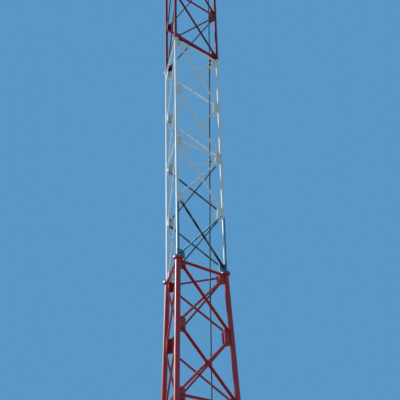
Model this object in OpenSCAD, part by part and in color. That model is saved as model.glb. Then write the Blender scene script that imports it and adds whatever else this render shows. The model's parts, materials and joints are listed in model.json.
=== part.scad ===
// Three-legged lattice radio mast: tube legs, flanged sections, crossed angle bracing.
// Millimetres, +Z up. The origin is the centre of the underside of the front foot.

/* [Mast] */
// Width of a face between leg axes, in the straight white and upper red sections
top_face_w = 1160; // [900:10:1500]
// Width of a face between leg axes at the foot flanges
base_face_w = 1850; // [1500:10:2400]
// Height of one crossed panel
panel_h = 1250; // [1000:10:1600]
// Panels in the base section
base_panels = 2; // [2:1:3]
// Panels in each of the lower, white and upper sections
section_panels = 4; // [2:2:6]

/* [Legs] */
// Outer diameter of the legs in the tapered red sections
low_leg_d = 102; // [88:1:128]
// Wall of those legs
low_leg_wall = 6; // [4:1:10]
// Outer diameter of the legs in the straight sections
slim_leg_d = 60; // [54:1:76]
// Wall of those legs
slim_leg_wall = 5; // [3:1:8]

/* [Flanges] */
// Bolts in each flange
flange_bolts = 6; // [3:3:6]
// Thickness of the flanges of the tapered sections
low_flange_t = 18; // [12:1:26]
// Bolt hole in those flanges
low_bolt_hole = 18; // [14:1:20]
// Their bolts' distance from the surface of a leg of the tapered sections
low_bolt_offset = 20; // [16:1:26]
// Their bolts' distance from the rim
low_bolt_edge = 18; // [15:1:30]
// Thickness of the flanges between the white and upper sections and at the top
slim_flange_t = 15; // [10:1:22]
// Bolt hole in those flanges
slim_bolt_hole = 14; // [10:1:16]
// Their bolts' distance from the surface of the leg
slim_bolt_offset = 17.5; // [14:0.5:22]
// Their bolts' distance from the rim
slim_bolt_edge = 16.5; // [12:0.5:26]

/* [Gusset plates] */
// Thickness of the gussets of the tapered sections
low_gusset_t = 8; // [5:1:12]
// Reach of those gussets from the leg axis
low_gusset_reach = 185; // [165:5:230]
// Half height of a gusset between two panels there
low_gusset_half = 145; // [120:5:180]
// Height of a gusset beside a flange there
low_gusset_end = 205; // [170:5:250]
// Thickness of the gussets of the straight sections
slim_gusset_t = 6; // [4:1:10]
// Reach of those gussets from the leg axis
slim_gusset_reach = 158; // [140:5:200]
// Half height of a gusset between two panels there
slim_gusset_half = 120; // [95:5:150]
// Height of a gusset beside a flange there
slim_gusset_end = 185; // [155:5:225]
// Corner cut of every gusset
gusset_cut = 34; // [15:1:45]

/* [Bracing] */
// Leg width of the angle bars of the tapered sections
low_bar = 40; // [30:1:50]
// Thickness of those bars
low_bar_t = 4; // [3:0.5:6]
// Leg width of the angle bars of the straight sections
slim_bar = 30; // [25:1:40]
// Thickness of those bars
slim_bar_t = 3; // [2:0.5:5]
// Diameter of the packing between two crossing bars, as a share of the bars' leg width
packing_share = 0.8; // [0.5:0.1:0.9]
// Height of the outermost bar axes above or below a joint, where they meet the leg axis
joint_inset = 62; // [55:1:80]
// The same on the two side faces of the straight sections
side_joint_inset = 42; // [42:1:70]
// Clearance between the end of a bar and the leg tube
bar_end_gap = 12; // [5:1:30]

/* [Feet] */
// Height of a foot from its underside to its flange face
foot_h = 250; // [200:10:400]
// Side of the square foot plate
foot_plate_w = 320; // [290:10:400]
// Thickness of the foot plate
foot_plate_t = 25; // [15:1:40]
// Anchor hole
anchor_hole = 27; // [18:1:33]
// Distance of the anchor holes from the plate's edges
anchor_edge = 45; // [35:1:50]
// Wall of the foot's tube
foot_wall = 8; // [5:1:12]
// Thickness of the foot's ribs
rib_t = 10; // [6:1:14]
// Distance of a rib's toe from the plate's edge
rib_toe_in = 30; // [15:5:45]
// Height of a rib's toe
rib_toe_h = 20; // [10:5:30]
// Width of a rib's head
rib_head_w = 12; // [8:1:20]
// Gap between a rib's head and the flange over it
rib_head_gap = 30; // [20:5:60]

/* [Feeder cable] */
// Diameter of the cable
cable_d = 25; // [16:1:30]
// Gap between the cable and the inner bars of the back face
cable_clear = 5.5; // [4:0.5:20]
// Distance of the cable from the right leg's axis across the face, at the foot flanges
cable_off_base = 815; // [700:5:1000]
// The same at the foot of the white section
cable_off_white = 287; // [220:1:400]
// The same at the head of the white section
cable_off_upper = 150; // [130:1:220]
// The same from halfway up the upper section to its head
cable_off_top = 105; // [90:1:130]
// Length of cable below its lowest hanger
cable_tail = 220; // [100:10:400]
// Gap between the end of the cable and the top of the mast
cable_top_gap = 80; // [70:5:90]

/* [Cable fittings] */
// Gap round the cable in its hangers and connectors
cable_fit = 0.3; // [0.2:0.1:1]
// Wall of a hanger's collar
collar_wall = 8; // [5:1:12]
// Height of a hanger's collar
collar_h = 30; // [20:1:36]
// Height of a hanger's foot
hanger_foot_h = 24; // [16:1:25]
// Thickness of a hanger's foot
hanger_foot_t = 5; // [3:1:8]
// Width of a hanger's shank
hanger_shank_w = 10; // [6:1:16]
// Wall of a connector's socket
socket_wall = 4.5; // [3:0.5:6]
// Length of cable inside a connector's socket
socket_depth = 25; // [15:1:30]
// Length of a connector's coupling nut
nut_l = 22; // [15:1:30]
// Bore of a connector's open end
spigot_bore = 18; // [10:1:20]

/* [Hidden] */
SECTIONS = ["base", "lower", "white", "upper"];
LEGS = ["front", "right", "left"];
FACES = ["right", "back", "left"];
$fn = 64;
red = [0.56, 0.13, 0.12];
white = [0.92, 0.93, 0.92];
galvanised = [0.60, 0.62, 0.63];
black = [0.16, 0.14, 0.13];
BACK = 1;
UPPER = 3;
// How far a cut runs past the face it cuts, and a welded plate into what it is welded to
past = 1;

// Levels of the joints between sections
base_z = foot_h;
lower_z = base_z + base_panels * panel_h;
white_z = lower_z + section_panels * panel_h;
upper_z = white_z + section_panels * panel_h;
top_z = upper_z + section_panels * panel_h;
levels = [base_z, lower_z, white_z, upper_z, top_z];

// Distance from the mast's centre line to a leg axis
base_r = base_face_w / sqrt(3);
top_r = top_face_w / sqrt(3);
taper = (base_r - top_r) / (white_z - base_z);
function leg_r(z) = z >= white_z ? top_r : top_r + taper * (white_z - z);
function face_w(z) = leg_r(z) * sqrt(3);

// Sizes of section s
function is_low(s) = s < 2;
function panels(s) = s == 0 ? base_panels : section_panels;
function length(s) = panels(s) * panel_h;
function leg_d(s) = is_low(s) ? low_leg_d : slim_leg_d;
function leg_wall(s) = is_low(s) ? low_leg_wall : slim_leg_wall;
function bar_w(s) = is_low(s) ? low_bar : slim_bar;
function bar_t(s) = is_low(s) ? low_bar_t : slim_bar_t;
function gusset_t(s) = is_low(s) ? low_gusset_t : slim_gusset_t;
function gusset_reach(s) = is_low(s) ? low_gusset_reach : slim_gusset_reach;
function gusset_half(s) = is_low(s) ? low_gusset_half : slim_gusset_half;
function gusset_end(s) = is_low(s) ? low_gusset_end : slim_gusset_end;
function paint(s) = s == 2 ? white : red;

// Flange sizes at joint j: both flanges of a joint are alike
function is_low_joint(j) = j < 3;
function flange_t(j) = is_low_joint(j) ? low_flange_t : slim_flange_t;
function bolt_hole(j) = is_low_joint(j) ? low_bolt_hole : slim_bolt_hole;
function bolt_circle(j) =
    is_low_joint(j) ? low_leg_d + 2 * low_bolt_offset : slim_leg_d + 2 * slim_bolt_offset;
function flange_d(j) = bolt_circle(j) + 2 * (is_low_joint(j) ? low_bolt_edge : slim_bolt_edge);

// Lean of a leg, and of a face, from the vertical in section s
function leg_lean(s) = is_low(s) ? atan(taper) : 0;
function face_lean(s) = is_low(s) ? atan(taper / 2) : 0;

// Nodes that carry a horizontal bar, counted in panels from the joint below. At the foot of the
// upper section only the two side faces have one
function bar_levels(s) = s == 0 ? [panels(s)] : [panels(s) / 2, panels(s)];
function face_bar_levels(f, s) = concat(s == UPPER && f != BACK ? [0] : [], bar_levels(s));

// The mast's centre line stands behind the front foot
module about_centre() translate([0, base_r, 0]) children();

// Places children at leg k, +X pointing outwards
module at_leg(k) about_centre() rotate([0, 0, -90 + 120 * k]) children();

// Places children in the plane of face f of section s: X along it, -Y outwards, Z up its slope
module on_face(f, s)
    about_centre()
    rotate([0, 0, 60 + 120 * f])
    translate([0, -leg_r(levels[s]) / 2, levels[s]])
    rotate([-face_lean(s), 0, 0])
    children();

// Height up the slope of a face for a height z over the joint below
function slope_v(s, z) = z / cos(face_lean(s));

// Leg axis in the plane of a face: x at height z over the joint below
function axis_x(s, z) = -face_w(levels[s] + z) / 2;

// How far the outermost nodes of face f of section s are drawn in from its joints
function inset(f, s) = is_low(s) || f == BACK ? joint_inset : side_joint_inset;

// Height of node i of face f of section s over the joint below
function node_z(f, s, i) =
    i == 0 ? inset(f, s) : i == panels(s) ? length(s) - inset(f, s) : i * panel_h;

// The bolt holes of a flange that lies on z = 0
module bolt_holes(j)
    for (i = [0 : flange_bolts - 1])
        rotate([0, 0, i * 360 / flange_bolts])
        translate([bolt_circle(j) / 2, 0, -past])
        cylinder(h = flange_t(j) + 2 * past, d = bolt_hole(j));

// Outline of a gusset on the left-hand leg between two panels, at height z
module gusset_mid_outline(s, z) {
    edge = leg_d(s) / 2 - leg_wall(s) / 2;
    reach = gusset_reach(s);
    half = gusset_half(s);
    function at(e, dz) = [axis_x(s, z + dz) + e, slope_v(s, z + dz)];
    polygon([
        at(edge, -half), at(reach - gusset_cut, -half), at(reach, -half + gusset_cut),
        at(reach, half - gusset_cut), at(reach - gusset_cut, half), at(edge, half)]);
}

// Outline of a gusset beside a flange: up = 1 stands on the lower flange, -1 hangs from the upper
module gusset_end_outline(s, j, up) {
    edge = leg_d(s) / 2 - leg_wall(s) / 2;
    reach = gusset_reach(s);
    near = flange_t(j) - past;
    far = gusset_end(s);
    function at(e, dz) = let (z = up > 0 ? dz : length(s) - dz) [axis_x(s, z) + e, slope_v(s, z)];
    polygon([
        at(edge, near), at(reach, near), at(reach, far - gusset_cut),
        at(reach - gusset_cut, far), at(edge, far)]);
}

// All gussets of the left-hand leg of a face
module gussets(s) {
    rotate([90, 0, 0])
    translate([0, 0, -gusset_t(s) / 2])
    linear_extrude(gusset_t(s)) {
        gusset_end_outline(s, s, 1);
        for (i = [1 : panels(s) - 1]) gusset_mid_outline(s, i * panel_h);
        gusset_end_outline(s, s + 1, -1);
    }
}

// Leg k of section s: tube, two flanges and the gussets of the two faces that meet there
module leg(k, s) {
    lean = leg_lean(s);
    start = flange_t(s) / 2 / cos(lean);
    tube = (length(s) - flange_t(s) / 2 - flange_t(s + 1) / 2) / cos(lean);
    bore = leg_d(s) - 2 * leg_wall(s);
    bore_past = leg_d(s);
    foot_point = [leg_r(levels[s]), 0, levels[s]];
    head_point = [leg_r(levels[s + 1]), 0, levels[s + 1] - flange_t(s + 1)];
    color(paint(s))
    difference() {
        union() {
            at_leg(k) {
                translate(foot_point) rotate([0, -lean, 0])
                    translate([0, 0, start]) cylinder(h = tube, d = leg_d(s));
                translate(foot_point) cylinder(h = flange_t(s), d = flange_d(s));
                translate(head_point) cylinder(h = flange_t(s + 1), d = flange_d(s + 1));
            }
            on_face(k, s) gussets(s);
            on_face((k + 2) % 3, s) mirror([1, 0, 0]) gussets(s);
        }
        at_leg(k) {
            translate(foot_point) rotate([0, -lean, 0])
                translate([0, 0, -bore_past]) cylinder(h = length(s) + 2 * bore_past, d = bore);
            translate(foot_point) bolt_holes(s);
            translate(head_point) bolt_holes(s + 1);
        }
    }
}

// Section of an angle bar lying along +X: flat leg on the face of a gusset, heel at the top.
// side = 1 puts it outside the gusset, -1 inside
module angle_outline(s, side) {
    inner = gusset_t(s) / 2;
    w = bar_w(s);
    t = bar_t(s);
    corners = [
        [inner, -w / 2], [inner + t, -w / 2], [inner + t, w / 2 - t],
        [inner + w, w / 2 - t], [inner + w, w / 2], [inner, w / 2]];
    polygon([for (p = corners) [side * p.x, p.y]]);
}

// An angle bar from point a to point b of a face, cut back by trim at both ends
module angle_bar(s, a, b, side, trim) {
    d = b - a;
    translate([a.x, 0, a.y])
    rotate([0, -atan2(d.y, d.x), 0])
    translate([trim, 0, 0])
    rotate([90, 0, 90])
    mirror([1, 0, 0])
    linear_extrude(norm(d) - 2 * trim) angle_outline(s, side);
}

// Cut-back along a bar at the given slope that keeps its corner off the leg tube
function bar_trim(s, slope) =
    (leg_d(s) / 2 + bar_end_gap + bar_w(s) / 2 * abs(sin(slope))) / cos(slope);

// The round packing that joins two crossing bars through their flat legs
module packing(s)
    rotate([90, 0, 0])
    cylinder(h = gusset_t(s) + bar_t(s), d = bar_w(s) * packing_share, center = true);

// One crossed panel: the outer bar falls from left to right, the inner one rises
module crossed_panel(f, s, i) {
    v0 = slope_v(s, node_z(f, s, i));
    v1 = slope_v(s, node_z(f, s, i + 1));
    x0 = axis_x(s, node_z(f, s, i));
    x1 = axis_x(s, node_z(f, s, i + 1));
    trim = bar_trim(s, atan2(v1 - v0, -x1 - x0));
    angle_bar(s, [x1, v1], [-x0, v0], 1, trim);
    angle_bar(s, [x0, v0], [-x1, v1], -1, trim);
    cross_v = v0 + (v1 - v0) * x0 / (x0 + x1);
    translate([0, 0, cross_v]) packing(s);
}

// A horizontal angle bar at node i, outside the gussets
module horizontal(f, s, i) {
    x = axis_x(s, node_z(f, s, i));
    v = slope_v(s, node_z(f, s, i));
    angle_bar(s, [x, v], [-x, v], 1, leg_d(s) / 2 + bar_end_gap);
}

// The bracing of face f of section s
module brace(f, s)
    color(paint(s))
    on_face(f, s) {
        for (i = [0 : panels(s) - 1]) crossed_panel(f, s, i);
        for (i = face_bar_levels(f, s)) horizontal(f, s, i);
    }

// One rib of a foot, standing on the plate along +X
module foot_rib() {
    root = low_leg_d / 2 - foot_wall / 2;
    toe = foot_plate_w / 2 - rib_toe_in;
    foot = foot_plate_t - past;
    head = foot_h - flange_t(0) - rib_head_gap;
    rotate([90, 0, 0])
    translate([0, 0, -rib_t / 2])
    linear_extrude(rib_t)
    polygon([
        [root, foot], [toe, foot], [toe, foot_plate_t + rib_toe_h],
        [low_leg_d / 2 + rib_head_w, head], [root, head]]);
}

// Foot k: plate, upright tube with four ribs, and the flange that takes the leg
module foot(k) {
    anchor = foot_plate_w / 2 - anchor_edge;
    color(red)
    at_leg(k)
    translate([base_r, 0, 0])
    difference() {
        union() {
            translate([-foot_plate_w / 2, -foot_plate_w / 2, 0])
                cube([foot_plate_w, foot_plate_w, foot_plate_t]);
            cylinder(h = foot_h, d = low_leg_d);
            translate([0, 0, foot_h - flange_t(0)]) cylinder(h = flange_t(0), d = flange_d(0));
            for (a = [0 : 90 : 270]) rotate([0, 0, a]) foot_rib();
        }
        translate([0, 0, foot_plate_t]) cylinder(h = foot_h, d = low_leg_d - 2 * foot_wall);
        translate([0, 0, foot_h - flange_t(0)]) bolt_holes(0);
        for (x = [-1, 1], y = [-1, 1])
            translate([x * anchor, y * anchor, -past])
            cylinder(h = foot_plate_t + 2 * past, d = anchor_hole);
    }
}

// The cable's axis keeps this distance from the plane of the back face, clear of the inner bars
cable_inset = low_gusset_t / 2 + low_bar + cable_clear + cable_d / 2;

// It runs straight between these levels, and its last bend lies well over the hanger halfway up
cable_low_z = lower_z - joint_inset - cable_tail;
cable_bend_z = upper_z + (section_panels / 2 + 0.16) * panel_h;
cable_top_z = top_z - cable_top_gap;
cable_levels = [cable_low_z, white_z, upper_z, cable_bend_z, cable_top_z];

// Distance from the right leg's axis at height z, and the point of the cable's axis there
function between(z, z0, z1, x0, x1) = x0 + (x1 - x0) * (z - z0) / (z1 - z0);
function cable_off(z) =
    z < white_z ? between(z, base_z, white_z, cable_off_base, cable_off_white) :
    z < upper_z ? between(z, white_z, upper_z, cable_off_white, cable_off_upper) :
    between(min(z, cable_bend_z), upper_z, cable_bend_z, cable_off_upper, cable_off_top);
function cable_point(z) =
    let (leg_x = z < white_z ? between(z, base_z, white_z, base_face_w, top_face_w) / 2 : top_face_w / 2)
    [leg_x - cable_off(z), base_r + leg_r(z) / 2 - cable_inset, z];

// Places children at point a with +Z towards point b
module aimed(a, b) {
    v = b - a;
    translate(a)
    rotate([0, acos(v.z / norm(v)), atan2(v.y, v.x)])
    children();
}

// A round rod between two points
module rod(a, b, d) aimed(a, b) cylinder(h = norm(b - a), d = d);

// The bends are balls a little thicker than the cable
module feeder_cable() {
    ball_d = cable_d + 1;
    color(black)
    union() {
        for (i = [0 : len(cable_levels) - 2])
            rod(cable_point(cable_levels[i]), cable_point(cable_levels[i + 1]), cable_d);
        for (i = [1 : len(cable_levels) - 2])
            translate(cable_point(cable_levels[i])) sphere(d = ball_d);
    }
}

// A hanger on the inside of the back face, at height z over the joint below. It seats on the
// horizontal bar there, or on the right leg's gusset where the cable passes in front of that
module hanger(s, z) {
    p = cable_point(levels[s] + z);
    collar_d = cable_d + 2 * collar_wall;
    from_axis = cable_off(p.z) - collar_d / 2;
    seat = from_axis < gusset_reach(s) + past ? gusset_t(s) / 2 : -gusset_t(s) / 2;
    difference() {
        on_face(BACK, s) translate([-p.x, 0, slope_v(s, z)]) {
            translate([-collar_d / 2, seat, -hanger_foot_h / 2])
                cube([collar_d, hanger_foot_t, hanger_foot_h]);
            translate([-hanger_shank_w / 2, seat, -collar_h / 2])
                cube([hanger_shank_w, cable_inset - seat, collar_h]);
            translate([0, cable_inset * cos(face_lean(s)), cable_inset * sin(face_lean(s)) - collar_h / 2])
                cylinder(h = collar_h, d = collar_d);
        }
        rod(cable_point(p.z - collar_h), cable_point(p.z + collar_h), cable_d + 2 * cable_fit);
    }
}

// At the top the hanger seats on the gusset under the bar, so that the connector clears the flanges
function hanger_z(s, i) =
    s == UPPER && i == panels(s) ?
        length(s) - slim_gusset_end + gusset_cut + hanger_foot_h / 2 : node_z(BACK, s, i);

module cable_hangers()
    color(galvanised)
    for (s = [0 : UPPER], i = bar_levels(s)) hanger(s, hanger_z(s, i));

// A connector on the end of the cable at point a, running on towards b: a socket that takes the
// cable, a hexagonal coupling nut and an open spigot
module connector(a, b) {
    socket_d = cable_d + 2 * cable_fit + 2 * socket_wall;
    nut_d = socket_d + 7;
    spigot_d = cable_d + 3;
    spigot_l = nut_l / 2;
    nut_z = socket_depth / 2;
    aimed(a, b)
    difference() {
        union() {
            translate([0, 0, -socket_depth]) cylinder(h = socket_depth + nut_z + past, d = socket_d);
            translate([0, 0, nut_z]) cylinder(h = nut_l, d = nut_d, $fn = 6);
            translate([0, 0, nut_z + nut_l - past]) cylinder(h = spigot_l, d = spigot_d);
        }
        translate([0, 0, -socket_depth - past])
            cylinder(h = socket_depth + past, d = cable_d + 2 * cable_fit);
        translate([0, 0, nut_z + nut_l / 2]) cylinder(h = nut_l + spigot_l, d = spigot_bore);
    }
}

module feeder_connectors()
    color(galvanised) {
        connector(cable_point(cable_low_z), cable_point(cable_low_z - cable_tail));
        connector(cable_point(cable_top_z), cable_point(cable_top_z + cable_top_gap));
    }

for (k = [0 : 2]) {
    foot(k);
    for (s = [0 : UPPER]) {
        leg(k, s);
        brace(k, s);
    }
}
feeder_cable();
cable_hangers();
feeder_connectors();
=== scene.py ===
"""Radio mast: paint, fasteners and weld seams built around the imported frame, in metres."""

import json
import logging
import math
from collections.abc import Iterable, Mapping, Sequence
from dataclasses import dataclass, field
from enum import Enum

import bmesh
import bpy
from mathutils import Matrix, Vector

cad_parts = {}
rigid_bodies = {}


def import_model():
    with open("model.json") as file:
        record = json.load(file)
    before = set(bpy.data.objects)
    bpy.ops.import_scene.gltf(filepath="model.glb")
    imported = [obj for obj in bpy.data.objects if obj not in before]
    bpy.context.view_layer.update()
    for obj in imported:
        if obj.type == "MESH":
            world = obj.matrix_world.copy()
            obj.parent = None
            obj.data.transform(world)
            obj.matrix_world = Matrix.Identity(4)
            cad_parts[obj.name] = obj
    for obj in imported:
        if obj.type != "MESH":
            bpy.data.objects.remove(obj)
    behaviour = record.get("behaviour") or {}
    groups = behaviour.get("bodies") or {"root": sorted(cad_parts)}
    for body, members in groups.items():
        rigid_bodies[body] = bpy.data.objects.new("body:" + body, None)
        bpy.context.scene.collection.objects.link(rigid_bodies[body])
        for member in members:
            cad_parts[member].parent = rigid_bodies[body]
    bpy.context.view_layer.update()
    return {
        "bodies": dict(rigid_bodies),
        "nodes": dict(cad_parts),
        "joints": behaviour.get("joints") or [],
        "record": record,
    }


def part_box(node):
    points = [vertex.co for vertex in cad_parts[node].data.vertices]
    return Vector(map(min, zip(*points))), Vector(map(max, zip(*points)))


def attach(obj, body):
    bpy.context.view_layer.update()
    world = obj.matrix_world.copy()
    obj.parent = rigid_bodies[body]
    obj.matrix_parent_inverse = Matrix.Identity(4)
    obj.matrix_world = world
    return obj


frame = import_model()

log = logging.getLogger("mast")

Colour = tuple[float, float, float]
Material = bpy.types.Material
Mesh = bpy.types.Mesh
# Where a fastener stands, and its direction
Site = tuple[Vector, Vector]
# The points of a weld seam, and whether it is closed
Chain = tuple[Sequence[Vector], bool]

LEGS = ("front", "right", "left")
FACES = ("right", "back", "left")
SECTIONS = ("base", "lower", "white", "upper")
RIGHT, BACK = FACES.index("right"), FACES.index("back")
WHITE, UPPER = SECTIONS.index("white"), SECTIONS.index("upper")
UP = Vector((0.0, 0.0, 1.0))
SEAM_SIDES = 48
BEAD_SIDES = 6
# A width in metres that takes in the whole mast
EVERYWHERE = 99.0


def linear(colour: Colour) -> tuple[float, float, float, float]:
    """Turns a display colour into the linear colour that shaders take.

    Args:
        colour: Red, green and blue from 0 to 1, as a display shows them.

    Returns:
        The linear colour with an alpha of 1.
    """
    parts = [c / 12.92 if c <= 0.04045 else ((c + 0.055) / 1.055) ** 2.4 for c in colour]
    return (parts[0], parts[1], parts[2], 1.0)


class Graph:
    """A node tree under construction."""

    def __init__(self, tree: bpy.types.NodeTree) -> None:
        """Starts from an empty tree.

        Args:
            tree: The tree to fill. What it holds is removed.
        """
        self.tree = tree
        tree.nodes.clear()

    def node(
        self,
        kind: str,
        settings: Mapping[str, object] | None = None,
        sockets: Mapping[str | int, object] | None = None,
    ) -> bpy.types.Node:
        """Adds a node.

        Args:
            kind: The node's type.
            settings: Properties of the node, set before its sockets.
            sockets: Values or links for input sockets, by name or index.

        Returns:
            The new node.
        """
        made = self.tree.nodes.new(kind)
        for name, value in (settings or {}).items():
            setattr(made, name, value)
        for key, value in (sockets or {}).items():
            self.feed(made.inputs[key], value)
        return made

    def feed(self, socket: bpy.types.NodeSocket, value: object) -> None:
        """Links or sets an input socket.

        Args:
            socket: The input socket.
            value: A Value, a socket to link from, or a constant.
        """
        source = value.socket if isinstance(value, Value) else value
        if isinstance(source, bpy.types.NodeSocket):
            self.tree.links.new(source, socket)
        else:
            socket.default_value = source

    def seen(self) -> "Value":
        """Tells what is looked at from what only gives light.

        Returns:
            1 where the camera, a reflection or a transparent surface looks, and 0 elsewhere.
        """
        path = self.node("ShaderNodeLightPath").outputs
        seen = Value(self, path["Is Camera Ray"]).largest(path["Is Glossy Ray"])
        return seen.largest(path["Is Transmission Ray"])


class Value:
    """A socket that carries a number, so that shader maths reads as arithmetic."""

    def __init__(self, graph: Graph, socket: bpy.types.NodeSocket) -> None:
        """Wraps a socket of a graph.

        Args:
            graph: The graph that the socket belongs to.
            socket: An output socket.
        """
        self.graph = graph
        self.socket = socket

    def _math(self, operation: str, *terms: object) -> "Value":
        """Adds a Math node on the terms."""
        node = self.graph.node("ShaderNodeMath", {"operation": operation}, dict(enumerate(terms)))
        return Value(self.graph, node.outputs[0])

    def __add__(self, other: object) -> "Value":
        """Adds."""
        return self._math("ADD", self, other)

    __radd__ = __add__

    def __mul__(self, other: object) -> "Value":
        """Multiplies."""
        return self._math("MULTIPLY", self, other)

    __rmul__ = __mul__

    def __sub__(self, other: object) -> "Value":
        """Subtracts."""
        return self._math("SUBTRACT", self, other)

    def __rsub__(self, other: object) -> "Value":
        """Subtracts from a number."""
        return self._math("SUBTRACT", other, self)

    def clamped(self) -> "Value":
        """Limits to the range from 0 to 1."""
        return self._math("MINIMUM", self._math("MAXIMUM", self, 0.0), 1.0)

    def largest(self, other: object) -> "Value":
        """The larger of two."""
        return self._math("MAXIMUM", self, other)

    def pingpong(self, scale: float) -> "Value":
        """Runs from 0 to scale and back, over and over."""
        return self._math("PINGPONG", self, scale)

    def wrapped(self, top: float) -> "Value":
        """Runs from 0 to top, over and over."""
        return self._math("WRAP", self, top, 0.0)

    def smooth(self, low: float, high: float) -> "Value":
        """Turns the stretch from low to high into a smooth step from 0 to 1.

        Args:
            low: The value that becomes 0.
            high: The value that becomes 1. It may be less than low.

        Returns:
            The step.
        """
        flip = low > high
        sockets = {0: self, 1: min(low, high), 2: max(low, high), 3: float(flip), 4: float(not flip)}
        node = self.graph.node("ShaderNodeMapRange", {"interpolation_type": "SMOOTHSTEP"}, sockets)
        return Value(self.graph, node.outputs[0])


@dataclass(frozen=True)
class Grain:
    """A noise: cells for each metre along X, Y and Z, octaves, and a shift that sets it apart."""

    scale: tuple[float, float, float]
    detail: float = 3.0
    shift: float = 0.0


class Surface(Graph):
    """The node tree of one material, with what its patterns share."""

    def __init__(self, name: str) -> None:
        """Makes the material with a principled shader.

        Args:
            name: The material's name.
        """
        self.material = bpy.data.materials.new(name)
        self.material.use_nodes = True
        super().__init__(self.material.node_tree)
        self.shader = self.node("ShaderNodeBsdfPrincipled")
        self.node("ShaderNodeOutputMaterial", sockets={"Surface": self.shader.outputs[0]})
        self.place = self.node("ShaderNodeTexCoord").outputs["Object"]
        apart = self.node("ShaderNodeSeparateXYZ", sockets={0: self.place})
        self.height = Value(self, apart.outputs["Z"])

    def noise(self, grain: Grain) -> Value:
        """A noise on the object's own coordinates.

        Args:
            grain: The noise's cells, octaves and shift.

        Returns:
            The noise, from 0 to 1, about 0.5.
        """
        sockets = {"Vector": self.place, "Location": (grain.shift,) * 3, "Scale": grain.scale}
        mapped = self.node("ShaderNodeMapping", sockets=sockets)
        sockets = {"Vector": mapped.outputs[0], "Scale": 1.0, "Detail": grain.detail}
        return Value(self, self.node("ShaderNodeTexNoise", sockets=sockets).outputs[0])

    def facing(self, direction: Vector) -> Value:
        """How far the surface faces a direction, from -1 to 1."""
        return self._along(self.node("ShaderNodeNewGeometry").outputs["Normal"], direction)

    def beyond(self, point: Vector, direction: Vector) -> Value:
        """The distance of the surface from a point along a direction, in metres."""
        apart = self.node("ShaderNodeVectorMath", {"operation": "SUBTRACT"}, {0: self.place, 1: point})
        return self._along(apart.outputs[0], direction)

    def _along(self, vector: bpy.types.NodeSocket, direction: Vector) -> Value:
        """Measures a vector along a direction.

        Args:
            vector: Socket of the vector.
            direction: The direction, of any length.

        Returns:
            The length.
        """
        sockets = {0: vector, 1: direction.normalized()}
        made = self.node("ShaderNodeVectorMath", {"operation": "DOT_PRODUCT"}, sockets)
        return Value(self, made.outputs["Value"])

    def mix(self, share: object, under: object, over: object) -> bpy.types.NodeSocket:
        """Lays one colour over another.

        Args:
            share: How much of the upper colour shows.
            under: The lower colour, as a display colour or a socket.
            over: The upper colour, as a display colour or a socket.

        Returns:
            The colour socket.
        """
        pair = [linear(c) if isinstance(c, tuple) else c for c in (under, over)]
        made = self.node(
            "ShaderNodeMix", {"data_type": "RGBA"}, {"Factor": share, 6: pair[0], 7: pair[1]}
        )
        return made.outputs[2]

    def finish(
        self, colour: object, roughness: object, relief: object, depth: float, metal: object = 0.0
    ) -> Material:
        """Joins the patterns to the shader.

        Args:
            colour: Base colour socket.
            roughness: Value or constant.
            relief: Height of the surface, for bump.
            depth: Depth of that relief in metres.
            metal: Value or constant.

        Returns:
            The material.
        """
        bump = self.node("ShaderNodeBump", sockets={"Strength": 1.0, "Distance": depth, "Height": relief})
        self.feed(self.shader.inputs["Base Color"], colour)
        self.feed(self.shader.inputs["Roughness"], roughness)
        self.feed(self.shader.inputs["Metallic"], metal)
        self.feed(self.shader.inputs["Normal"], bump.outputs[0])
        return self.material


@dataclass(frozen=True)
class PaintPatch:
    """A stretch between two heights, and beyond a plane, where another coat of paint shows.

    The plane goes through point, and the patch reaches as far as width from it, the way that
    side points. spare_tops leaves out what faces up.
    """

    low: float
    high: float
    colour: Colour
    point: Vector
    side: Vector
    width: float = 0.3
    spare_tops: bool = False
    ragged: float = 0.05
    side_ragged: float = 0.012
    side_blend: float = 0.002

    def share(self, surface: Surface, edge: Value) -> Value:
        """How much of the other coat shows.

        Args:
            surface: The material's node tree.
            edge: A noise that frays the patch's edges.

        Returns:
            1 in the patch and 0 outside.
        """
        fray = edge - 0.5
        height = surface.height + fray * (4 * self.ragged)
        beyond = surface.beyond(self.point, self.side) + fray * self.side_ragged
        share = height.smooth(self.low, self.low + self.ragged)
        share = share * height.smooth(self.high + self.ragged, self.high)
        share = share * beyond.smooth(-self.side_blend / 2, self.side_blend)
        share = share * beyond.smooth(self.width, self.width - self.side_blend)
        if self.spare_tops:
            share = share * surface.facing(UP).smooth(0.55, 0.25)
        return share


TONE = Grain((1.7, 1.7, 0.6), 2.0)
BRUSH = Grain((70.0, 70.0, 6.0), 4.0, 3.0)
STREAKS = Grain((38.0, 38.0, 1.3), 4.0, 7.0)
SPOTS = Grain((120.0, 120.0, 90.0), 2.0, 11.0)
CLUSTERS = Grain((5.0, 5.0, 2.5), 2.0, 17.0)
DROPS = Grain((120.0, 120.0, 42.0), 3.0, 23.0)
SPATTER = Grain((6.0, 6.0, 2.2), 2.0, 29.0)


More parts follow.
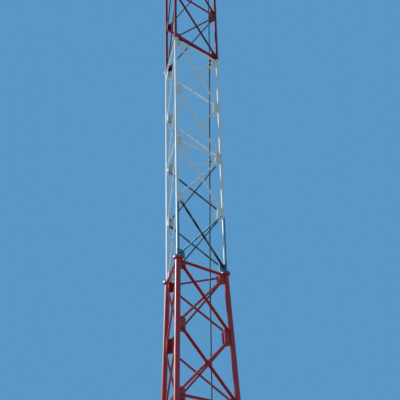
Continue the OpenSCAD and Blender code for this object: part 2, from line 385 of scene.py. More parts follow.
@dataclass(frozen=True)
class MastPaint:
    """Weathered paint on steel, with grime under the gussets, rust spots and bleached tops.

    The pairs drips and node_reach are distances from a node in metres: where the grime or the
    rust begins, and where it is full.
    """

    name: str
    coat: Colour
    faded: Colour
    grime: Colour
    dust: Colour
    rust_share: float = 0.5
    splash: Colour | None = None
    grime_share: float = 0.6
    gloss: tuple[float, float] = (0.32, 0.46)
    lacquer: float = 0.0
    lacquer_gloss: float = 0.42
    rust: Colour = (0.34, 0.16, 0.09)
    rust_edge: Colour = (0.52, 0.30, 0.18)
    soil: Colour = (0.42, 0.36, 0.28)
    soil_height: float = 1.1
    drips: tuple[float, float] = (0.85, 0.14)
    node_reach: tuple[float, float] = (0.32, 0.02)
    splash_reach: float = 3.2
    relief: float = 0.0006

    def dress(
        self, plan: "MastPlan", suffix: str = "", patches: Sequence[PaintPatch] = ()
    ) -> Material:
        """Builds the material.

        Args:
            plan: The mast's plan, for the heights of joints and gussets.
            suffix: Ends the material's name, where one paint makes several materials.
            patches: Stretches that show another coat.

        Returns:
            The material.
        """
        s = Surface(self.name + suffix)
        tone, brush, spots, clusters = (s.noise(g) for g in (TONE, BRUSH, SPOTS, CLUSTERS))
        tops = s.facing(UP).smooth(0.35, 0.95)

        colour = s.mix(tone.smooth(0.32, 0.68), self.coat, self.faded)
        colour = s.mix(brush.smooth(0.45, 0.8) * 0.25, colour, self.faded)
        for patch in patches:
            share = patch.share(s, brush)
            colour = s.mix(share * (0.8 + 0.2 * clusters.smooth(0.62, 0.45)), colour, patch.colour)
        colour = s.mix(tops * (0.25 + 0.35 * tone), colour, self.dust)
        colour = s.mix(self._grimed(s, plan), colour, self.grime)
        ground = s.height.smooth(self.soil_height, 0.0)
        colour = s.mix(ground * (0.2 + 0.6 * clusters) * 0.7, colour, self.soil)

        worn = self._worn(s, plan, clusters)
        stain = spots.smooth(0.56, 0.72) * worn
        chips = spots.smooth(0.655, 0.70) * worn
        colour = s.mix(stain * 0.75, colour, self.rust_edge)
        colour = s.mix(chips, colour, self.rust)
        if self.splash:
            colour = s.mix(self._splashed(s, plan), colour, self.splash)

        roughness = self.gloss[0] + (self.gloss[1] - self.gloss[0]) * tone
        roughness = roughness + 0.25 * stain + 0.3 * tops
        s.feed(s.shader.inputs["Coat Weight"], self.lacquer)
        s.feed(s.shader.inputs["Coat Roughness"], self.lacquer_gloss)
        return s.finish(colour, roughness, 0.6 * brush - 0.9 * chips + 0.1 * spots, self.relief)

    def _grimed(self, s: Surface, plan: "MastPlan") -> Value:
        """Where water has left streaks, most of all below a gusset.

        Args:
            s: The material's node tree.
            plan: The mast's plan.

        Returns:
            The share of grime.
        """
        climb = (s.height - plan.levels[0]).wrapped(plan.panel)
        under_gusset = climb.smooth(plan.panel - self.drips[0], plan.panel - self.drips[1])
        streaks = s.noise(STREAKS).smooth(0.50, 0.74)
        return streaks * (0.2 + 0.8 * under_gusset) * self.grime_share

    def _worn(self, s: Surface, plan: "MastPlan", clusters: Value) -> Value:
        """Where the paint wears: in clusters, and by the bolted nodes.

        Args:
            s: The material's node tree.
            plan: The mast's plan.
            clusters: The noise that gathers the wear.

        Returns:
            The share of wear.
        """
        near_node = (s.height - plan.levels[0]).pingpong(plan.panel / 2).smooth(*self.node_reach)
        return (clusters.smooth(0.52, 0.70) + near_node * 0.35).clamped() * self.rust_share

    def _splashed(self, s: Surface, plan: "MastPlan") -> Value:
        """Where paint from the section above has dripped, below the joint.

        Args:
            s: The material's node tree.
            plan: The mast's plan.

        Returns:
            The share of drops.
        """
        joint = plan.levels[WHITE]
        drops = s.noise(DROPS).smooth(0.70, 0.73)
        spattered = s.noise(SPATTER).smooth(0.50, 0.66)
        return drops * spattered * s.height.smooth(joint - self.splash_reach, joint)


@dataclass(frozen=True)
class Galvanised:
    """Dull hot-dip galvanised steel with a faint spangle and white rust."""

    name: str = "galvanised"
    zinc: Colour = (0.55, 0.57, 0.58)
    dark_zinc: Colour = (0.42, 0.44, 0.46)
    white_rust: Colour = (0.72, 0.73, 0.72)
    red_rust: Colour = (0.42, 0.26, 0.15)
    spangles: float = 160.0
    blooms: Grain = Grain((30.0, 30.0, 18.0), 3.0, 5.0)
    rust_spots: Grain = Grain((90.0, 90.0, 60.0), 3.0, 9.0)
    relief: float = 0.0006

    def dress(self) -> Material:
        """Builds the material.

        Returns:
            The material.
        """
        s = Surface(self.name)
        cells = s.node("ShaderNodeTexVoronoi", sockets={"Vector": s.place, "Scale": self.spangles})
        spangle = s.node("ShaderNodeSeparateColor", sockets={0: cells.outputs["Color"]}).outputs[0]
        bloom = s.noise(self.blooms)
        bloomed = bloom.smooth(0.5, 0.72)
        rust = s.noise(self.rust_spots).smooth(0.62, 0.72)
        colour = s.mix(spangle, self.zinc, self.dark_zinc)
        colour = s.mix(bloomed * 0.6, colour, self.white_rust)
        colour = s.mix(rust * 0.7, colour, self.red_rust)
        metal = 0.75 - 0.5 * bloomed - 0.25 * rust
        return s.finish(colour, 0.42 + 0.2 * bloom + 0.2 * rust, bloom, self.relief, metal)


@dataclass(frozen=True)
class CableJacket:
    """A black-brown polyethylene jacket, chalky and scuffed."""

    name: str = "cable_jacket"
    jacket: Colour = (0.22, 0.19, 0.15)
    chalk: Colour = (0.44, 0.40, 0.33)
    chalking: Grain = Grain((14.0, 14.0, 2.0))
    scuffing: Grain = Grain((160.0, 160.0, 9.0), 3.0, 5.0)
    relief: float = 0.0004

    def dress(self) -> Material:
        """Builds the material.

        Returns:
            The material.
        """
        s = Surface(self.name)
        chalky, scuffs = s.noise(self.chalking), s.noise(self.scuffing)
        colour = s.mix(chalky.smooth(0.42, 0.72) * 0.6, self.jacket, self.chalk)
        colour = s.mix(scuffs.smooth(0.62, 0.72) * 0.5, colour, self.chalk)
        return s.finish(colour, 0.5 + 0.2 * chalky, scuffs, self.relief)


@dataclass(frozen=True)
class Fastener:
    """Sizes of a bolt with its nut and washers.

    The hexagon starts at bed_share of the washer, inside it. The shares for corner, flat and
    crown are of the flats, and those for taper and tip of the shank's radius.
    """

    flats: float
    head: float
    nut: float
    washer: float
    washer_thick: float
    shank: float
    thread_out: float
    bed_share: float = 0.9
    corner_share: float = 0.085
    flat_share: float = 0.03
    crown_share: float = 0.46
    taper_share: float = 0.25
    tip_share: float = 0.78


M16 = Fastener(
    flats=0.024, head=0.010, nut=0.0132, washer=0.030, washer_thick=0.003, shank=0.016, thread_out=0.007
)
M12 = Fastener(
    flats=0.019, head=0.0078, nut=0.0104, washer=0.024, washer_thick=0.0025, shank=0.012, thread_out=0.005
)
M10 = Fastener(
    flats=0.017, head=0.0066, nut=0.0084, washer=0.020, washer_thick=0.002, shank=0.010, thread_out=0.004
)
M6 = Fastener(
    flats=0.010, head=0.0042, nut=0.005, washer=0.012, washer_thick=0.0016, shank=0.006, thread_out=0.002
)


@dataclass(frozen=True)
class Steelwork:
    """Sizes of the steel in one kind of section, as in the part's source."""

    leg: float
    bar: float
    bar_thick: float
    plate: float
    half: float
    end: float
    bolt: Fastener
    edge: float
    pitch: float
    bead: float


TAPERED = Steelwork(
    leg=0.102, bar=0.040, bar_thick=0.004, plate=0.008, half=0.145, end=0.205,
    bolt=M12, edge=0.024, pitch=0.042, bead=0.0042,
)
STRAIGHT = Steelwork(
    leg=0.060, bar=0.030, bar_thick=0.003, plate=0.006, half=0.120, end=0.185,
    bolt=M10, edge=0.018, pitch=0.030, bead=0.0032,
)


@dataclass(frozen=True)
class FlangeJoint:
    """The two flanges of one joint of the legs."""

    thick: float
    width: float
    bolt_circle: float
    bolt: Fastener
    bolts: int = 6


TAPERED_JOINT = FlangeJoint(thick=0.018, width=0.178, bolt_circle=0.142, bolt=M16)
STRAIGHT_JOINT = FlangeJoint(thick=0.015, width=0.128, bolt_circle=0.095, bolt=M12)


@dataclass(frozen=True)
class MastPlan:
    """Where the mast's axes, joints and nodes lie, read from the frame."""

    centre: Vector
    base_radius: float
    top_radius: float
    levels: tuple[float, ...]
    panels: tuple[int, ...] = (2, 4, 4, 4)
    joint_inset: float = 0.062
    side_joint_inset: float = 0.042
    bar_gap: float = 0.012

    @classmethod
    def from_frame(cls, loaded: Mapping[str, object]) -> "MastPlan":
        """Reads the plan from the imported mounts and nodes.


        Returns:
            The plan.
        """
        mounts = {m["name"]: Vector(m["pos_m"]) for m in loaded["record"]["mounts"]}
        feet = [mounts[f"anchor_bolts_{leg}"] for leg in LEGS]
        heads = [mounts[f"top_flange_{leg}"] for leg in LEGS]
        centre = sum(feet, Vector()) / len(feet)
        levels = [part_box(f"leg_front_{section}")[0].z for section in SECTIONS]
        levels.append(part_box("leg_front_upper")[1].z)
        return cls(
            centre=centre,
            base_radius=(feet[0] - centre).length,
            top_radius=(heads[0] - centre).xy.length,
            levels=tuple(levels),
        )

    @property
    def panel(self) -> float:
        """Height of one crossed panel."""
        return (self.levels[-1] - self.levels[0]) / sum(self.panels)

    def steel(self, section: int) -> Steelwork:
        """Sizes of the steel of a section."""
        return TAPERED if section < WHITE else STRAIGHT

    def joint(self, level: int) -> FlangeJoint:
        """Sizes of the flanges at a joint."""
        return TAPERED_JOINT if level < UPPER else STRAIGHT_JOINT

    def radius(self, z: float) -> float:
        """Distance of a leg's axis from the mast's centre line."""
        share = (self.levels[WHITE] - z) / (self.levels[WHITE] - self.levels[0])
        return self.top_radius + (self.base_radius - self.top_radius) * min(max(0.0, share), 1.0)

    def half_width(self, z: float) -> float:
        """Half the width of a face between leg axes."""
        return self.radius(z) * math.sqrt(3) / 2

    def outward(self, leg: int) -> Vector:
        """The direction from the centre line out through a leg."""
        angle = math.radians(120 * leg - 90)
        return Vector((math.cos(angle), math.sin(angle), 0.0))

    def leg_point(self, leg: int, z: float) -> Vector:
        """A point on a leg's axis."""
        return self.centre + self.outward(leg) * self.radius(z) + UP * z

    def ends(self, section: int) -> tuple[float, float]:
        """Heights of the joints at a section's two ends."""
        return self.levels[section], self.levels[section + 1]


@dataclass(frozen=True)
class Face:
    """One side of a section, whose bracing lies in one plane."""

    plan: MastPlan
    side: int
    section: int

    @property
    def lean(self) -> float:
        """Slope from the vertical, as the sideways distance for each metre of height."""
        low, high = self.plan.ends(self.section)
        return (self.plan.radius(low) - self.plan.radius(high)) / 2 / (high - low)

    @property
    def outward(self) -> Vector:
        """The outward normal."""
        foot = self.plan.levels[self.section]
        return self.point(0.0, 0.0, foot) - self.point(0.0, 1.0, foot)

    def nodes(self) -> list[float]:
        """Finds the nodes of the bracing, drawn in at the section's two ends.

        Returns:
            Their heights, from the lowest up.
        """
        low, high = self.plan.ends(self.section)
        inner = [low + self.plan.panel * i for i in range(1, self.plan.panels[self.section])]
        slim_side = self.plan.steel(self.section) is STRAIGHT and self.side != BACK
        inset = self.plan.side_joint_inset if slim_side else self.plan.joint_inset
        return [low + inset, *inner, high - inset]

    def level_bars(self) -> list[float]:
        """Finds the horizontal bars. At the upper section's foot only the two side faces have one.

        Returns:
            Their heights, from the lowest up.
        """
        nodes = self.nodes()
        chosen = [-1] if self.section == 0 else [len(nodes) // 2, -1]
        if self.section == UPPER and self.side != BACK:
            chosen.insert(0, 0)
        return [nodes[i] for i in chosen]

    def point(self, x: float, depth: float, z: float) -> Vector:
        """A point given in the face's plane.

        Args:
            x: Distance to the right of the face's middle, seen from outside.
            depth: Distance inside the plane, or outside where negative.
            z: Height.

        Returns:
            The point.
        """
        lean = math.atan(self.lean)
        turn = Matrix.Rotation(math.radians(60 + 120 * self.side), 3, "Z")
        middle = turn @ Vector((0.0, -self.plan.radius(z) / 2, 0.0))
        inward = turn @ Vector((0.0, math.cos(lean), -math.sin(lean)))
        return self.plan.centre + middle + turn @ Vector((x, 0.0, 0.0)) + inward * depth + UP * z


def closed_stack(mesh: bmesh.types.BMesh, rings: Sequence[Sequence[Vector]]) -> None:
    """Joins rings of equal count into one closed solid with flat ends.

    Args:
        mesh: Takes the faces.
        rings: The rings, from the lowest up, each counter-clockwise seen from above.
    """
    made = [[mesh.verts.new(p) for p in ring] for ring in rings]
    for lower, upper in zip(made, made[1:]):
        for i in range(len(lower)):
            j = (i + 1) % len(lower)
            mesh.faces.new((lower[i], lower[j], upper[j], upper[i]))
    mesh.faces.new(list(reversed(made[0])))
    mesh.faces.new(made[-1])


def ring(radius: float, z: float, sides: int = 12) -> list[Vector]:
    """A regular ring of points about the Z axis."""
    steps = [2 * math.pi * i / sides for i in range(sides)]
    return [Vector((radius * math.cos(a), radius * math.sin(a), z)) for a in steps]


def plate_edge(radius: float, thick: float) -> float:
    """How far from a round's axis the faces of a centred plate meet the round."""
    return math.sqrt(radius**2 - (thick / 2) ** 2)


def hexagon(flats: float, z_corner: float, z_flat: float) -> list[Vector]:
    """A hexagon of 12 points, whose corners and flats may lie at different heights.

    Args:
        flats: Width across the flats.
        z_corner: Height of the corners.
        z_flat: Height of the middles of the flats.

    Returns:
        The points, counter-clockwise.
    """
    corners = ring(flats / math.sqrt(3), z_corner)
    middles = ring(flats / 2, z_flat)
    return [middles[i] if i % 2 else corners[i] for i in range(12)]


class FastenerEnd(Enum):
    """The two ends of a bolt that show."""

    HEAD = "head"
    NUT = "nut"


def fastener_mesh(size: Fastener, end: FastenerEnd) -> bpy.types.Object:
    """Makes a washer with a bolt's head, or with its nut and thread end, standing on z = 0.

    Args:
        size: Sizes of the bolt.
        end: Which end to make.

    Returns:
        A hidden object that Geometry Nodes copy.
    """
    mesh = bmesh.new()
    radius = size.washer / 2
    closed_stack(mesh, [ring(radius, 0.0), ring(radius, size.washer_thick)])
    low = size.washer_thick * size.bed_share
    high = size.washer_thick + (size.head if end is FastenerEnd.HEAD else size.nut)
    corner, flat = high - size.flats * size.corner_share, high - size.flats * size.flat_share
    rings = [
        hexagon(size.flats, low, low),
        hexagon(size.flats, corner, flat),
        ring(size.flats * size.crown_share, high),
    ]
    if end is FastenerEnd.NUT:
        shank = size.shank / 2
        top = high + size.thread_out
        rings += [
            ring(shank, high),
            ring(shank, top - shank * size.taper_share),
            ring(shank * size.tip_share, top),
        ]
    closed_stack(mesh, rings)
    return hidden_object(f"pattern_{end.value}_{round(size.shank * 1000)}", mesh)


def hidden_object(name: str, mesh: bmesh.types.BMesh) -> bpy.types.Object:
    """Turns a bmesh into an object that isn't linked to the scene.

    Args:
        name: The object's name.
        mesh: The bmesh, which is freed.

    Returns:
        The object.
    """
    data = bpy.data.meshes.new(name)
    mesh.to_mesh(data)
    mesh.free()
    return bpy.data.objects.new(name, data)


class NodesTree(Graph):
    """A Geometry Nodes tree with named inputs."""

    def __init__(self, name: str, inputs: Mapping[str, str]) -> None:
        """Makes the tree.

        Args:
            name: The tree's name.
            inputs: Kind of each named input, beside the geometry.
        """
        tree = bpy.data.node_groups.new(name, "GeometryNodeTree")
        super().__init__(tree)
        sockets = [("Geometry", "INPUT", "Geometry")]
        sockets += [(label, "INPUT", kind) for label, kind in inputs.items()]
        sockets.append(("Geometry", "OUTPUT", "Geometry"))
        for label, way, kind in sockets:
            tree.interface.new_socket(label, in_out=way, socket_type="NodeSocket" + kind)
        self.inputs = self.node("NodeGroupInput").outputs

    def random(self, least: object, most: object) -> bpy.types.NodeSocket:
        """A random number for each item, from the tree's input "Seed"."""
        sockets = {2: least, 3: most, "Seed": self.inputs["Seed"]}
        return self.node("FunctionNodeRandomValue", sockets=sockets).outputs[1]

    def close(self, geometry: bpy.types.NodeSocket) -> None:
        """Ends the tree with realized instances in the finish that its input names.

        Args:
            geometry: What the tree has made.
        """
        real = self.node("GeometryNodeRealizeInstances", sockets={"Geometry": geometry})
        sockets = {"Geometry": real.outputs[0], "Material": self.inputs["Finish"]}
        dressed = self.node("GeometryNodeSetMaterial", sockets=sockets)
        self.node("NodeGroupOutput", sockets={"Geometry": dressed.outputs[0]})

    def grow(self, name: str, seed_mesh: Mesh, values: Mapping[str, object]) -> Mesh:
        """Runs the tree on a mesh.

        Args:
            name: Name of the result.
            seed_mesh: Points or edges that the tree works on.
            values: Value of each named input.

        Returns:
            The result as a plain mesh.
        """
        carrier = bpy.data.objects.new(name + "_seed", seed_mesh)
        bpy.context.scene.collection.objects.link(carrier)
        modifier = carrier.modifiers.new(name, "NODES")
        modifier.node_group = self.tree
        for item in self.tree.interface.items_tree:
            if item.in_out == "INPUT" and item.name in values:
                modifier[item.identifier] = values[item.name]
        graph = bpy.context.evaluated_depsgraph_get()
        result = bpy.data.meshes.new_from_object(carrier.evaluated_get(graph), depsgraph=graph)
        result.name = name
        carrier.modifiers.remove(modifier)
        bpy.data.objects.remove(carrier)
        return result


def fastener_tree() -> NodesTree:
    """Builds the tree that puts a fastener on each point, along its axis and turned at random.

    Returns:
        The tree.
    """
    inputs = {"Fastener": "Object", "Most turn": "Float", "Seed": "Int", "Finish": "Material"}
    tree = NodesTree("fasteners", inputs)
    axis = tree.node(
        "GeometryNodeInputNamedAttribute", {"data_type": "FLOAT_VECTOR"}, {"Name": "axis"}
    )
    aim = tree.node("FunctionNodeAlignRotationToVector", {"axis": "Z"}, {"Vector": axis.outputs[0]})
    shape = tree.node("GeometryNodeObjectInfo", sockets={"Object": tree.inputs["Fastener"]})
    copies = tree.node(
        "GeometryNodeInstanceOnPoints",
        sockets={
            "Points": tree.inputs["Geometry"],
            "Instance": shape.outputs["Geometry"],
            "Rotation": aim.outputs[0],
        },
    )
    spin = tree.node("ShaderNodeCombineXYZ", sockets={"Z": tree.random(0.0, tree.inputs["Most turn"])})
    turned = tree.node(
        "GeometryNodeRotateInstances",
        sockets={"Instances": copies.outputs[0], "Rotation": spin.outputs[0], "Local Space": True},
    )
    tree.close(turned.outputs[0])
    return tree


def bead_tree() -> NodesTree:
    """Builds the tree that lays a rippled weld bead along each edge chain.

    Returns:
        The tree.
    """
    sizes = dict.fromkeys(("Bead radius", "Ripple pitch", "Ripple"), "Float")
    tree = NodesTree("weld_beads", sizes | {"Seed": "Int", "Finish": "Material"})
    given = tree.inputs
    line = tree.node("GeometryNodeMeshToCurve", sockets={"Mesh": given["Geometry"]})
    even = tree.node(
        "GeometryNodeResampleCurve",
        {"mode": "LENGTH"},
        {"Curve": line.outputs[0], "Length": given["Ripple pitch"]},
    )
    profile = tree.node(
        "GeometryNodeCurvePrimitiveCircle",
        sockets={"Resolution": BEAD_SIDES, "Radius": given["Bead radius"]},
    )
    bead = tree.node(
        "GeometryNodeCurveToMesh",
        sockets={
            "Curve": even.outputs[0],
            "Profile Curve": profile.outputs[0],
            "Scale": tree.random(1.0 - Value(tree, given["Ripple"]), 1.0),
            "Fill Caps": True,
        },
    )
    tree.close(bead.outputs[0])
    return tree


def site_mesh(name: str, sites: Sequence[Site]) -> Mesh:
    """Makes a mesh of loose points that carry the direction in which a fastener stands.

    Args:
        name: The mesh's name.
        sites: Point and direction of each fastener.

    Returns:
        The mesh, with its directions in the attribute "axis".
    """
    mesh = bpy.data.meshes.new(name)
    mesh.from_pydata([point for point, _ in sites], [], [])
    axes = mesh.attributes.new("axis", "FLOAT_VECTOR", "POINT")
    for item, (_, axis) in zip(axes.data, sites):
        item.vector = axis
    return mesh


def chain_mesh(name: str, chains: Iterable[Chain]) -> Mesh:
    """Makes a mesh of edge chains.

    Args:
        name: The mesh's name.
        chains: Points of each chain, and whether it is closed.

    Returns:
        The mesh.
    """
    points: list[Vector] = []
    edges: list[tuple[int, int]] = []
    for chain, closed in chains:
        first = len(points)
        points.extend(chain)
        edges.extend((first + i, first + i + 1) for i in range(len(chain) - 1))
        if closed:
            edges.append((first + len(chain) - 1, first))
    mesh = bpy.data.meshes.new(name)
    mesh.from_pydata(points, edges, [])
    return mesh


def add_piece(name: str, parts: Iterable[Mesh], finish: Material, slot: str) -> None:
    """Joins meshes into one piece of the object, and reports it.

    Args:
        name: The piece's name.
        parts: The meshes.
        finish: The piece's material.
        slot: The record's material slot. Not used.
    """
    joined = bmesh.new()
    for part in parts:
        joined.from_mesh(part)
    triangles = 0
    for face in joined.faces:
        face.material_index = 0
        triangles += len(face.verts) - 2
    data = bpy.data.meshes.new(name)
    joined.to_mesh(data)
    joined.free()
    data.materials.append(finish)
    piece = bpy.data.objects.new(name, data)
    bpy.context.scene.collection.objects.link(piece)
    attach(piece, "root")
    log.info("%s: %d triangles", name, triangles)


@dataclass(frozen=True)
class BoltSite:
    """One bolt that clamps steel: where its head and its nut bear, and the way that its head faces."""

    head: Vector
    nut: Vector
    facing: Vector


@dataclass
class Bolting:
    """Puts bolts into the mast."""

    tree: NodesTree
    seed: int = 11
    most_turn: float = math.pi / 3

    def add(
        self, name: str, size: Fastener, bolts: Sequence[BoltSite], finish: Material, slot: str
    ) -> None:
        """Makes one piece of bolts.

        Args:
            name: The piece's name.
            size: The bolts' size.
            bolts: Where they are.
            finish: Their material.
            slot: The record's material slot.
        """
        heads = [(bolt.head, bolt.facing) for bolt in bolts]
        nuts = [(bolt.nut, -bolt.facing) for bolt in bolts]
        ends = {FastenerEnd.HEAD: heads, FastenerEnd.NUT: nuts}
        parts = [self._grown(name, size, end, sites, finish) for end, sites in ends.items()]
        add_piece(name, parts, finish, slot)

    def add_heads(
        self, name: str, size: Fastener, sites: Sequence[Site], finish: Material, slot: str
    ) -> None:
        """Makes one piece of bolt heads whose nuts don't show."""
        add_piece(name, [self._grown(name, size, FastenerEnd.HEAD, sites, finish)], finish, slot)

    def _grown(
        self, name: str, size: Fastener, end: FastenerEnd, sites: Sequence[Site], finish: Material
    ) -> Mesh:
        """Runs the fastener tree on some sites.

        Args:
            name: The piece's name.
            size: The bolts' size.
            end: Which end of them to make.
            sites: Where they stand.
            finish: Their material.

        Returns:
            The mesh of them all.
        """
        values = {
            "Fastener": fastener_mesh(size, end),
            "Most turn": self.most_turn,
            "Seed": self.seed,
            "Finish": finish,
        }
        return self.tree.grow(f"{name}_{end.value}", site_mesh(name, sites), values)


@dataclass
class FlangeBolts:
    """The bolts through the flanges of the joints."""

    plan: MastPlan

    def sites(self, level: int) -> list[BoltSite]:
        """Bolts of one level.

        Args:
            level: Index of the joint's level.

        Returns:
            The bolts.
        """
        joint = self.plan.joint(level)
        reach = UP * joint.thick
        found = []
        for leg in range(3):
            axis = self.plan.leg_point(leg, self.plan.levels[level])
            for i in range(joint.bolts):
                turn = Matrix.Rotation(2 * math.pi * i / joint.bolts, 3, "Z")
                place = axis + turn @ self.plan.outward(leg) * (joint.bolt_circle / 2)
                found.append(BoltSite(head=place - reach, nut=place + reach, facing=-UP))
        return found


@dataclass
class BraceBolts:
    """The bolts that hold the bracing to the gussets and to itself."""

    plan: MastPlan
    below_centre: float = 0.002

    def sites(self, section: int) -> list[BoltSite]:
        """Bolts of the three faces of a section."""
        faces = [Face(self.plan, side, section) for side in range(3)]
        return [site for face in faces for site in self._on_face(face)]

    def _on_face(self, face: Face) -> Iterable[BoltSite]:
        """Bolts of one face.

        Args:
            face: The face.

        Yields:
            Each bolt.
        """
        steel = self.plan.steel(face.section)
        nodes = face.nodes()
        slope_length = 1 / math.cos(math.atan(face.lean))
        for low, high in zip(nodes, nodes[1:]):
            near, far = self.plan.half_width(low), self.plan.half_width(high)
            rise = (high - low) * slope_length
            angle = math.atan2(rise, near + far)
            trim = (steel.leg / 2 + self.plan.bar_gap + steel.bar / 2 * math.sin(angle)) / math.cos(angle)
            along = math.hypot(rise, near + far)
            drop = self.below_centre / math.cos(angle)
            for along_bar in self._two_ends(trim, along, steel):
                share = along_bar / along
                rising = (-near + (near + far) * share, low + (high - low) * share - drop)
                falling = (-far + (near + far) * share, high - (high - low) * share - drop)
                yield self._site(face, *falling, outside=True)
                yield self._site(face, *rising, outside=False)
            crossing = low + (high - low) * near / (near + far)
            yield self._site(face, 0.0, crossing, outside=True, through_both=True)
        for height in face.level_bars():
            half = self.plan.half_width(height)
            for along_bar in self._two_ends(steel.leg / 2 + self.plan.bar_gap, 2 * half, steel):
                yield self._site(face, along_bar - half, height - self.below_centre, outside=True)

    @staticmethod
    def _two_ends(trim: float, length: float, steel: Steelwork) -> list[float]:
        """Distances along a bar of the two bolts at each of its ends."""
        first, second = trim + steel.edge, trim + steel.edge + steel.pitch
        return [first, second, length - second, length - first]

    def _site(
        self, face: Face, x: float, z: float, outside: bool, through_both: bool = False
    ) -> BoltSite:
        """One bolt through a bar, whose head is on the bar's side.

        Args:
            face: The bar's face.
            x: Distance to the right of the face's middle.
            z: Height.
            outside: Whether the bar lies outside the gussets.
            through_both: Whether the bolt holds a bar on each side.

        Returns:
            The bolt.
        """
        steel = self.plan.steel(face.section)
        on_bar = steel.plate / 2 + steel.bar_thick
        side = -1 if outside else 1
        far = on_bar if through_both else steel.plate / 2
        return BoltSite(
            head=face.point(x, side * on_bar, z),
            nut=face.point(x, -side * far, z),
            facing=face.outward * -side,
        )


@dataclass
class HangerBolts:
    """The two bolts in the foot of each cable hanger."""

    plan: MastPlan
    hangers: bpy.types.Object
    side: int = BACK
    foot_thick: float = 0.005
    beside: float = 0.0135
    least_apart: float = 0.2

    def sites(self) -> list[Site]:
        """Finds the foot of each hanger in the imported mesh.

        Returns:
            Bearing point and direction of each bolt head.
        """
        found = []
        for group in self._hangers():
            section = max(i for i, z in enumerate(self.plan.levels[:-1]) if group[0].z > z)
            face = Face(self.plan, self.side, section)
            origin = face.point(0.0, 0.0, self.plan.levels[section])
            inward = -face.outward
            across = inward.cross(UP).normalized()
            depths = [(p - origin).dot(inward) for p in group]
            foot = [p for p, depth in zip(group, depths) if depth < min(depths) + self.foot_thick / 2]
            middle = sum(foot, Vector()) / len(foot)
            for side in (-1, 1):
                place = middle + inward * self.foot_thick + across * (side * self.beside)
                found.append((place, inward))
        return found

    def _hangers(self) -> list[list[Vector]]:
        """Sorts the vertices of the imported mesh.

        Returns:
            The vertices of each hanger, from the lowest up.
        """
        groups: list[list[Vector]] = []
        for point in sorted((v.co.copy() for v in self.hangers.data.vertices), key=lambda p: p.z):
            if not groups or point.z - groups[-1][-1].z > self.least_apart:
                groups.append([])
            groups[-1].append(point)
        return groups


@dataclass
class WeldSeams:
    """The fillet welds of the legs and feet."""

    plan: MastPlan
    tree: NodesTree
    pitch: float = 0.008
    ripple: float = 0.28
    seed: int = 5

    def add(self, section: int, finish: Material, slot: str) -> None:
        """Makes the seams of a section's three legs.

        Args:
            section: Index of the section.
            finish: Their material.
            slot: The record's material slot.
        """
        chains: list[Chain] = []
        for leg in range(3):
            chains.extend(self._tube_rings(leg, section))
            for side, way in ((leg, 1), ((leg + 2) % 3, -1)):
                chains.extend(self._gusset_seams(Face(self.plan, side, section), way))
        name = f"leg_welds_{SECTIONS[section]}"
        self._lay(name, chains, self.plan.steel(section).bead, finish, slot)

    def add_feet(self, finish: Material, slot: str) -> None:
        """Makes the seams of the three feet."""
        chains = [chain for leg in range(3) for chain in FootWelds(self.plan).chains(leg)]
        self._lay("foot_welds", chains, TAPERED.bead, finish, slot)

    def _lay(
        self, name: str, chains: Iterable[Chain], radius: float, finish: Material, slot: str
    ) -> None:
        """Runs the bead tree on some chains.

        Args:
            name: The piece's name.
            chains: The seams.
            radius: The bead's radius.
            finish: Their material.
            slot: The record's material slot.
        """
        values = {
            "Bead radius": radius,
            "Ripple pitch": self.pitch,
            "Ripple": self.ripple,
            "Seed": self.seed,
            "Finish": finish,
        }
        add_piece(name, [self.tree.grow(name, chain_mesh(name, chains), values)], finish, slot)

    def _tube_rings(self, leg: int, section: int) -> Iterable[Chain]:
        """The seams between a leg's tube and its two flanges.

        Args:
            leg: Index of the leg.
            section: Index of the section.

        Yields:
            Each seam.
        """
        radius = self.plan.steel(section).leg / 2
        for z in self._clear_of_flanges(section):
            axis = self.plan.leg_point(leg, z)
            yield [axis + point for point in ring(radius, 0.0, SEAM_SIDES)], True

    def _clear_of_flanges(self, section: int) -> tuple[float, float]:
        """Heights of the top of a section's lower flanges and the underside of its upper ones."""
        low, high = self.plan.ends(section)
        return low + self.plan.joint(section).thick, high - self.plan.joint(section + 1).thick

    def _gusset_seams(self, face: Face, way: int) -> Iterable[Chain]:
        """The seams of a leg's gussets in one face: to the tube, and to the flanges.

        Args:
            face: The face.
            way: 1 for the leg at the face's left, -1 for the other.

        Yields:
            Each seam.
        """
        section, steel = face.section, self.plan.steel(face.section)
        low, high = self.plan.ends(section)
        on_low, on_high = self._clear_of_flanges(section)
        stretches = [(on_low, low + steel.end), (high - steel.end, on_high)]
        for i in range(1, self.plan.panels[section]):
            node = low + self.plan.panel * i
            stretches.append((node - steel.half, node + steel.half))
        off_axis = plate_edge(steel.leg / 2, steel.plate)
        for depth in (-steel.plate / 2, steel.plate / 2):
            for stretch in stretches:
                across = [self.plan.half_width(z) - off_axis for z in stretch]
                yield [face.point(-way * x, depth, z) for x, z in zip(across, stretch)], False
            for level, z in ((section, on_low), (section + 1, on_high)):
                rim = plate_edge(self.plan.joint(level).width / 2, steel.plate)
                axis = self.plan.half_width(self.plan.levels[level])
                yield [face.point(-way * (axis - x), depth, z) for x in (off_axis, rim)], False


